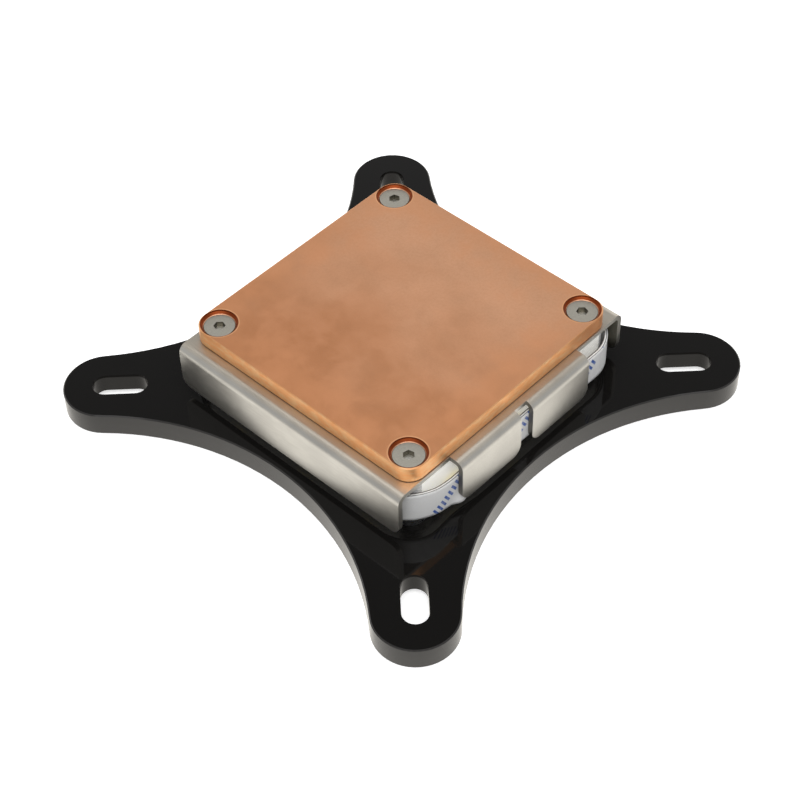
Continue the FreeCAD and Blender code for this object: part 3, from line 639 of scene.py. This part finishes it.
LINER_CORNER = 8.2 * MM
LINER_THICKNESS = 0.15 * MM
GLUE_THICKNESS = 0.14 * MM
FILM_THICKNESS = 0.28 * MM
BACKING_THICKNESS = 0.18 * MM
FILM_INSET = LINER_THICKNESS + GLUE_THICKNESS  # film's outer face inside the liner's
BACKING_INSET = FILM_INSET + FILM_THICKNESS
SEAM_WIDTH = 1.5 * MM
PATH_STEP = 0.5 * MM
ROWS = 12
SAG_DEPTH = 1.1 * MM
SAG_MIDDLE = 18.0 * MM  # from the middle of the front right side, towards the front
SAG_REACH = 8.0 * MM
EAR_DEPTH = 1.0 * MM  # how far the liner's loose corner stands off
EAR_MIDDLE = 17.0 * MM
EAR_REACH = 2.8 * MM
EAR_TAPER = 2.5  # how fast the corner closes upwards
EAR_CURL = 1.5
DROOP = 0.4 * MM  # of the liner's lower edge below the strip's
RIPPLE_DEPTH = 0.05 * MM
RIPPLE_TURN = 0.31  # radians for each millimetre along the liner
NEAR = 1e-6


def to_row_frame(u, v, z):
    """A point given on the block's own axes, which are turned by -45 degrees."""
    return Vector(((u + v) / math.sqrt(2), (v - u) / math.sqrt(2), z))


def swell(distance, reach):
    """1 at no distance, falling smoothly to 0 at reach."""
    t = min(1.0, abs(distance) / reach)
    return 0.5 + 0.5 * math.cos(math.pi * t)


def band_path(half, corner):
    """Points, outward directions and lengths round a rounded square.

    It runs anticlockwise and starts at the +v side, at the end next to the right corner.
    """
    flat = half - corner
    path = []
    length = 0.0
    for quarter in range(4):
        heading = math.radians(90 + 90 * quarter)
        out = Vector((math.cos(heading), math.sin(heading)))
        side = Vector((-out.y, out.x))
        steps = round(2 * flat / PATH_STEP)
        for i in range(steps):
            shift = -flat + 2 * flat * i / steps
            path.append((out * half + side * shift, out, length + flat + shift))
        length += 2 * flat
        arc = round(corner * math.pi / 2 / PATH_STEP)
        for i in range(arc):
            angle = heading + math.pi / 2 * i / arc
            turned = Vector((math.cos(angle), math.sin(angle)))
            centre = (out + side) * flat
            path.append((centre + turned * corner, turned, length + corner * math.pi / 2 * i / arc))
        length += corner * math.pi / 2
    return path


def open_at_seam(path, half, corner):
    """The path without its seam, starting behind it."""
    seam = corner - half
    keep = [
        step for step in path
        if not (step[0].y > half - NEAR and abs(step[0].x - seam) < SEAM_WIDTH / 2)]
    gap = next((i for i in range(len(keep)) if (keep[i][0] - keep[i - 1][0]).length > 2 * PATH_STEP), 0)
    return keep[gap:] + keep[:gap]


def add_object(name, mesh):
    """Turns a bmesh into an object in the scene."""
    data = bpy.data.meshes.new(name)
    mesh.to_mesh(data)
    mesh.free()
    made = bpy.data.objects.new(name, data)
    scene.collection.objects.link(made)
    return made


def make_band(name, node, half, corner, thickness, lift_edge):
    """One band on edge, open at its seam, standing where the node does."""
    low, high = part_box(node)
    whole = 8 * (half - corner) + 2 * math.pi * corner
    keep = open_at_seam(band_path(half, corner), half, corner)
    mesh = bmesh.new()
    uv_layer = mesh.loops.layers.uv.new("millimetres")
    grid = []
    for point, out, length in keep:
        on_front_right = point.x > half - corner
        sag = SAG_DEPTH * swell(-point.y - SAG_MIDDLE, SAG_REACH) if on_front_right else 0.0
        ear = EAR_DEPTH * swell(-point.y - EAR_MIDDLE, EAR_REACH) if on_front_right and lift_edge else 0.0
        ripple = RIPPLE_DEPTH * math.sin(length / MM * RIPPLE_TURN)
        column = []
        for row in range(ROWS + 1):
            rise = row / ROWS
            z = low.z + (high.z - low.z) * rise - sag
            if lift_edge:
                z += (ripple - DROOP) * (1 - rise)
            spot = point + out * (ear * max(0.0, 1 - EAR_TAPER * rise) ** EAR_CURL - 0.5 * thickness)
            column.append(mesh.verts.new(to_row_frame(spot.x, spot.y, z)))
        grid.append(column)
    for i in range(len(grid) - 1):
        start, end = keep[i][2], keep[i + 1][2]
        if end < start:
            end += whole
        for row in range(ROWS):
            corners = (grid[i][row], grid[i + 1][row], grid[i + 1][row + 1], grid[i][row + 1])
            face = mesh.faces.new(corners)
            face.smooth = True
            lengths = (start, end, end, start)
            rises = (row, row, row + 1, row + 1)
            for loop, length, rise in zip(face.loops, lengths, rises):
                loop[uv_layer].uv = (length / MM, (high.z - low.z) / MM * rise / ROWS)
    band = add_object(name, mesh)
    thick = band.modifiers.new("thickness", "SOLIDIFY")
    thick.thickness = thickness
    thick.offset = 0.0
    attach(band, "root")
    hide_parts(node)
    return band


liner_half = (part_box("strip_liner")[1].x - LINER_CORNER) / math.sqrt(2) + LINER_CORNER
backing = backing_material()
# the glue layer is real, but its dark grey is painted shade for the seam between liner and film
glue_and_seam_shade = plain_material("strip_glue_seam_shade", (0.10, 0.105, 0.11), (0.16, 0.165, 0.175), 0.5)
layers = (
    ("liner_band", "strip_liner", 0.0, LINER_THICKNESS, "liner_paper", liner_material()),
    ("glue_band", "light_strip", LINER_THICKNESS, GLUE_THICKNESS, None, glue_and_seam_shade),
    ("film_band", "light_strip", FILM_INSET, FILM_THICKNESS, "strip_film", LOOKS["light_strip"]),
    ("backing_band", "light_strip", BACKING_INSET, BACKING_THICKNESS, None, backing),
)
lamp = bpy.data.objects.new("lowered_lamp", nodes["led_01"].data.copy())  # it hangs in the strip's sag
lamp.location.z = -SAG_DEPTH
scene.collection.objects.link(lamp)
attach(lamp, "root")
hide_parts("led_01")
for name, node, inset, thickness, slot_name, material in layers:
    band = make_band(name, node, liner_half - inset, LINER_CORNER - inset, thickness, node == "strip_liner")
    band.data.materials.append(material)

# ---------------------------------------------------------------------------------------------------
# Threads of the two coolant ports
# ---------------------------------------------------------------------------------------------------

PORT_OFFSET = 12.5 * MM
PORT_RADIUS = 6.58 * MM
THREAD_PITCH = 1.337 * MM
THREAD_DEPTH = 0.75 * MM
THREAD_TOP = 7.6 * MM
THREAD_TURNS = 4.5
THREAD_STEPS = 48
THREAD_SECTION = ((0.02, -0.42), (-0.94, -0.08), (-0.94, 0.08), (0.02, 0.42))  # depths and pitches
FADE_STEPS = 6  # over which an end of the ridge grows
END_SIZE = 0.05


def make_thread(name, v):
    """A ridge that winds up the inside of a port. Its section is a blunt triangle set into the wall."""
    bottom = THREAD_TOP - THREAD_TURNS * THREAD_PITCH
    mesh = bmesh.new()
    rings = []
    total = round(THREAD_TURNS * THREAD_STEPS)
    for i in range(total + 1):
        angle = 2 * math.pi * i / THREAD_STEPS
        middle = bottom + THREAD_PITCH * i / THREAD_STEPS
        fade = min(1.0, i / FADE_STEPS + END_SIZE, (total - i) / FADE_STEPS + END_SIZE)
        ring = []
        for inward, rise in THREAD_SECTION:
            radius = PORT_RADIUS + inward * THREAD_DEPTH * fade
            ring.append(mesh.verts.new(to_row_frame(
                radius * math.cos(angle), v + radius * math.sin(angle), middle + rise * THREAD_PITCH * fade)))
        rings.append(ring)
    for first, second in zip(rings, rings[1:]):
        for j in range(len(THREAD_SECTION)):
            k = (j + 1) % len(THREAD_SECTION)
            mesh.faces.new((first[j], first[k], second[k], second[j]))
    mesh.faces.new(rings[0])
    mesh.faces.new(tuple(reversed(rings[-1])))
    bmesh.ops.recalc_face_normals(mesh, faces=mesh.faces)
    thread = add_object(name, mesh)
    thread.data.materials.append(LOOKS["block_body"])
    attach(thread, "root")


make_thread("inlet_thread", PORT_OFFSET)
make_thread("outlet_thread", -PORT_OFFSET)

# ---------------------------------------------------------------------------------------------------
# Floor, light and camera, all in metres
# ---------------------------------------------------------------------------------------------------

FLOOR_SIZE = 6.0
FLOOR_DROP = 0.02 * MM  # below the bracket
FLOOR_PAPER = (0.80, 0.80, 0.80, 1.0)
FLOOR_LIFT = 0.65  # added to what the camera sees
POOL_COLOUR = (1.0, 0.965, 0.90, 1.0)
POOL_SPAN = (0.06, 0.20)  # from the middle
POOL_LIGHT = (1.22, 0.50)  # inside and outside the pool

BEHIND_SPAN = (0.05, 0.45)  # of the direction's Y, from the front to behind the object
HIGH_SPAN = (0.30, 0.85)  # of the direction's Z
HIGH_LIGHT = (1.20, 0.10)  # low down and high up behind the object
FRONT_LIGHT = 0.50

SOFTBOXES = (  # name, place, size and radiance
    ("softbox_front", (0.0, -0.45, 0.75), (0.90, 0.50), 1.7),
    ("softbox_top", (0.0, 0.02, 0.80), (0.70, 0.70), 1.7),
)

CAMERA_AIM = (-0.00082, -0.01161, 0.010)
CAMERA_DISTANCE = 0.3571
CAMERA_AZIMUTH = -1.131  # degrees, like the next two
CAMERA_ELEVATION = 47.123
CAMERA_ROLL = -1.475
CAMERA_LENS = 87.08  # millimetres
CAMERA_NEAREST = 0.01


def make_floor():
    """A pale floor, a little brighter to the camera. In a mirror it is a bright pool round the object.

    It is clear from below, so that the underside can be looked at.
    """
    bpy.ops.mesh.primitive_plane_add(size=FLOOR_SIZE, location=(0, 0, -FLOOR_DROP))
    floor = bpy.context.object
    floor.name = "floor"
    material, tree = new_tree("floor")
    path = put(tree, "ShaderNodeLightPath").outputs
    seen = math_node(tree, "MAXIMUM", path["Is Camera Ray"], path["Is Transmission Ray"])
    paper = put(tree, "ShaderNodeBsdfDiffuse", {"Color": FLOOR_PAPER})
    lift = put(tree, "ShaderNodeEmission", {"Strength": math_node(tree, "MULTIPLY", seen, FLOOR_LIFT)})
    lit = put(tree, "ShaderNodeAddShader", {0: paper.outputs[0], 1: lift.outputs[0]})
    distance = length_of(tree, put(tree, "ShaderNodeTexCoord").outputs["Object"])
    mirrored = put(tree, "ShaderNodeEmission", {
        "Color": POOL_COLOUR, "Strength": ramp_between(tree, distance, *POOL_SPAN, *POOL_LIGHT)})
    both = put(tree, "ShaderNodeMixShader", {
        0: path["Is Glossy Ray"], 1: lit.outputs[0], 2: mirrored.outputs[0]})
    under = put(tree, "ShaderNodeNewGeometry").outputs["Backfacing"]
    clear = put(tree, "ShaderNodeBsdfTransparent")
    one_way = put(tree, "ShaderNodeMixShader", {0: under, 1: both.outputs[0], 2: clear.outputs[0]})
    put(tree, "ShaderNodeOutputMaterial", {"Surface": one_way.outputs[0]})
    floor.data.materials.append(material)


def make_world():
    """An even pale room, darker high up behind the object. The camera sees it white."""
    world = bpy.data.worlds.new("studio")
    scene.world = world
    world.use_nodes = True
    tree = world.node_tree
    tree.nodes.clear()
    direction = split(tree, put(tree, "ShaderNodeTexCoord").outputs["Generated"])
    behind = ramp_between(tree, direction[1], *BEHIND_SPAN)
    falling = ramp_between(tree, direction[2], *HIGH_SPAN, *HIGH_LIGHT)
    level = mix_value(tree, behind, FRONT_LIGHT, falling)
    seen = put(tree, "ShaderNodeLightPath").outputs["Is Camera Ray"]
    sky = put(tree, "ShaderNodeBackground", {
        "Color": (1.0, 1.0, 1.0, 1.0), "Strength": mix_value(tree, seen, level, 1.0)})
    put(tree, "ShaderNodeOutputWorld", {"Surface": sky.outputs[0]})


def add_softbox(name, place, size, radiance):
    """A rectangular light that looks at the origin."""
    light = bpy.data.lights.new(name, "AREA")
    light.shape = "RECTANGLE"
    light.size, light.size_y = size
    light.energy = radiance * math.pi * size[0] * size[1]
    softbox = bpy.data.objects.new(name, light)
    softbox.location = place
    softbox.rotation_euler = (-Vector(place)).to_track_quat("-Z", "Y").to_euler()
    scene.collection.objects.link(softbox)


def make_camera():
    """The camera of the photo, looking at the aim from the front and above."""
    azimuth = math.radians(CAMERA_AZIMUTH)
    elevation = math.radians(CAMERA_ELEVATION)
    flat = math.cos(elevation)
    back = Vector((math.sin(azimuth) * flat, -math.cos(azimuth) * flat, math.sin(elevation)))
    right = Vector((0, 0, 1)).cross(back).normalized()
    up = back.cross(right)
    turned = Matrix((right, up, back)).transposed() @ Matrix.Rotation(math.radians(CAMERA_ROLL), 3, "Z")
    data = bpy.data.cameras.new("camera")
    data.lens = CAMERA_LENS
    data.clip_start = CAMERA_NEAREST
    camera = bpy.data.objects.new("camera", data)
    camera.matrix_world = Matrix.Translation(Vector(CAMERA_AIM) + back * CAMERA_DISTANCE) @ turned.to_4x4()
    scene.collection.objects.link(camera)
    scene.camera = camera


make_floor()
make_world()
for settings in SOFTBOXES:
    add_softbox(*settings)
make_camera()
